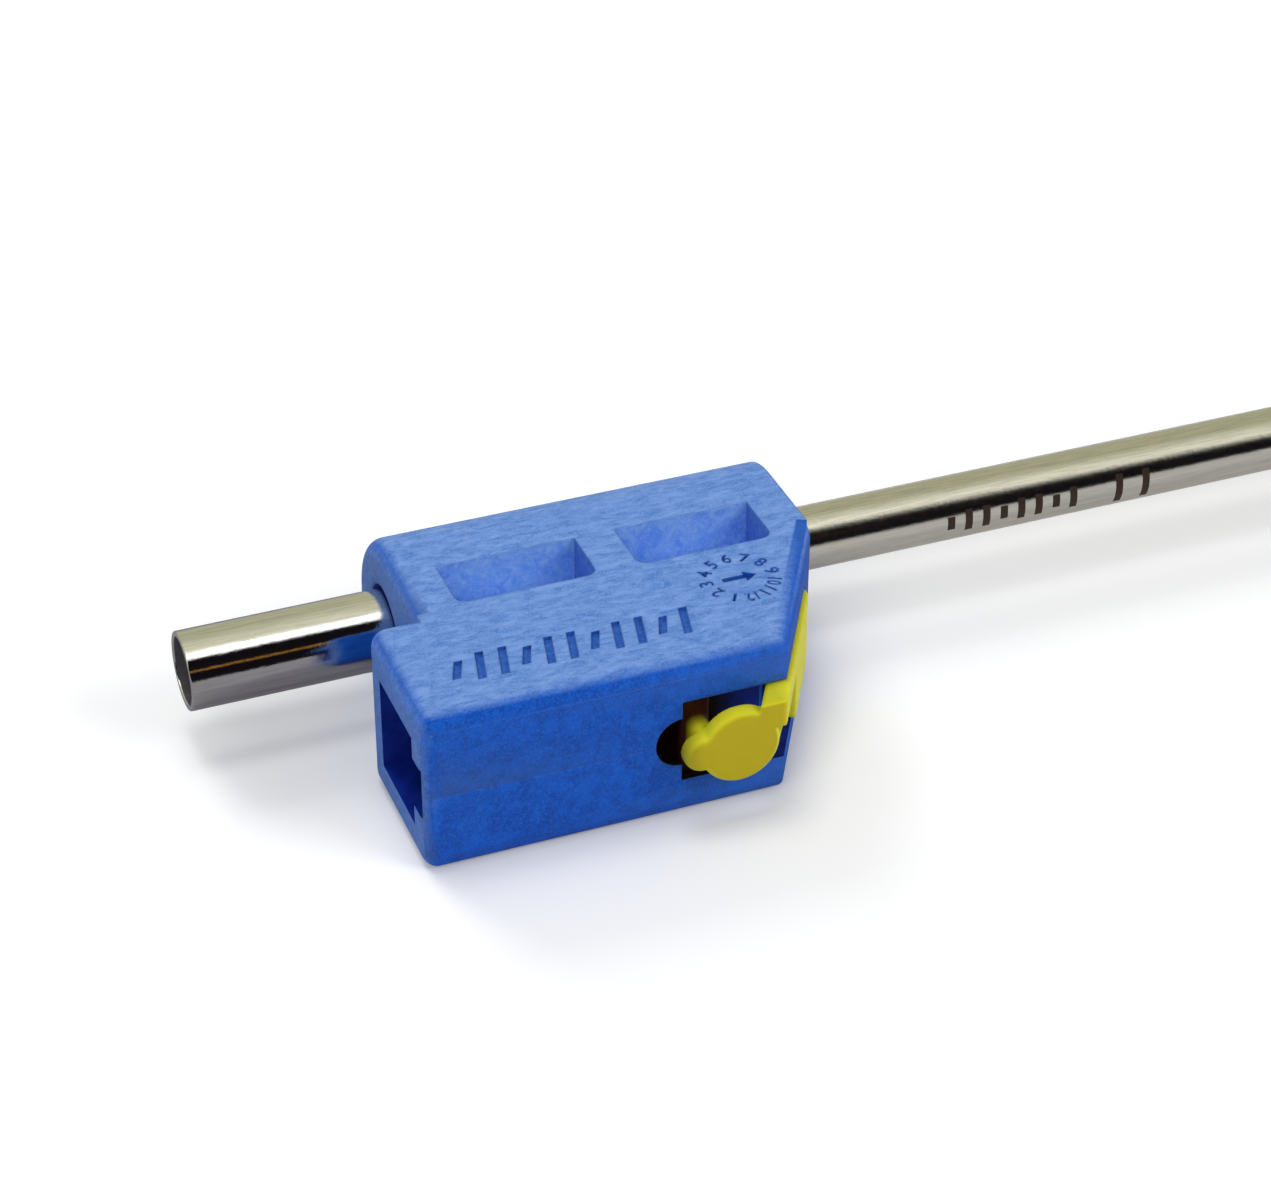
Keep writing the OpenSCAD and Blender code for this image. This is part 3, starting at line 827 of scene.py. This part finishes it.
def make_world():
    """Plain soft light. Metal mirrors a room with an olive back and a dark front."""
    world = bpy.data.worlds.new("world")
    bpy.context.scene.world = world
    world.use_nodes = True
    world.node_tree.nodes.clear()
    tree = Tree(world.node_tree)
    split = tree.node("ShaderNodeSeparateXYZ")
    tree.join(tree.node("ShaderNodeTexCoord").outputs["Generated"], split.inputs[0])
    x, y, z = split.outputs
    # Angle from the zenith towards the near side, in turns of 360 degrees, 0.5 at the zenith
    angle = tree.maths("ARCTAN2", tree.maths("MULTIPLY", y, -1.0), z)
    turns = tree.spread(angle, -math.pi, math.pi)
    olive, pale, white = (0.50, 0.50, 0.34), (0.85, 0.84, 0.66), (1.7, 1.7, 1.7)
    black, amber = (0.006, 0.005, 0.007), (0.9, 0.43, 0.06)
    rear_room = room(
        tree, turns, (-180, olive), (-45, olive), (4, pale), (9, white), (25, white), (29, black),
        (60, black), (61.5, amber), (63, black), (180, black),
    )
    # Towards the tip the bright part reaches lower, so the dark band narrows
    slipped = tree.maths("ADD", turns, tree.spread(x, SLIP_FROM, SLIP_TO, 0.0, SLIP))
    front_olive, glow = (0.52, 0.51, 0.35), (1.05, 1.03, 0.88)
    front_room = room(
        tree, slipped, (-180, front_olive), (-30, front_olive), (14, glow), (24, glow),
        (31, black), (180, black),
    )
    side = tree.spread(x, ROOM_SPLIT - ROOM_BLEND, ROOM_SPLIT + ROOM_BLEND)
    mirrored = background(tree, tree.mix(side, rear_room, front_room))
    last = background(tree, (0.95, 0.97, 1.0), 0.24)
    path = tree.node("ShaderNodeLightPath")
    for ray, seen in (("Is Glossy Ray", mirrored), ("Is Camera Ray", background(tree, (1, 1, 1)))):
        mixer = tree.node("ShaderNodeMixShader")
        for target, source in zip(mixer.inputs, (path.outputs[ray], last, seen)):
            tree.join(source, target)
        last = mixer.outputs[0]
    tree.join(last, tree.node("ShaderNodeOutputWorld").inputs["Surface"])


LAMP_TARGET = in_mm(12, -6)


def area_light(name, place, size, level):
    """A square lamp aimed at the hub. Its level is what it adds to a white surface facing it."""
    data = bpy.data.lights.new(name, "AREA")
    data.shape = "SQUARE"
    data.size = size
    data.energy = level * math.pi ** 2 * (LAMP_TARGET - place).length_squared
    light = link(bpy.data.objects.new(name, data))
    light.location = place
    light.rotation_euler = (LAMP_TARGET - place).to_track_quat("-Z", "Y").to_euler()
    light.visible_glossy = False


def make_lights():
    area_light("ceiling", in_mm(-40, 60, 620), 0.24, 0.27)
    area_light("rear", in_mm(-120, 500, 420), 0.28, 0.33)
    area_light("front_left", in_mm(-300, -360, 380), 0.26, 0.22)
    area_light("front_right", in_mm(330, -360, 330), 0.26, 0.30)


make_camera()
make_world()
make_lights()
make_floor()

polished = steel("sleeve_steel", (0.78, 0.77, 0.74), 0.05, 0.10, grain=3.2, speckle=0.0070)
satin = steel("cannula_steel", (0.70, 0.69, 0.64), 0.10, 0.16, grain=4.5, speckle=0.0090)

make_hub(hub_plastic(), pocket_plastic(), inner_painted_shade(), mark_shade_plastic())
make_sleeve(polished, sleeve_bore_shade())
make_latch(latch_plastic())
make_etching(etched_mark())
for name in ("cannula_tube", "cannula_tip", "anchor_collar"):
    paint(nodes[name], satin)

bpy.context.scene.view_settings.view_transform = "Standard"
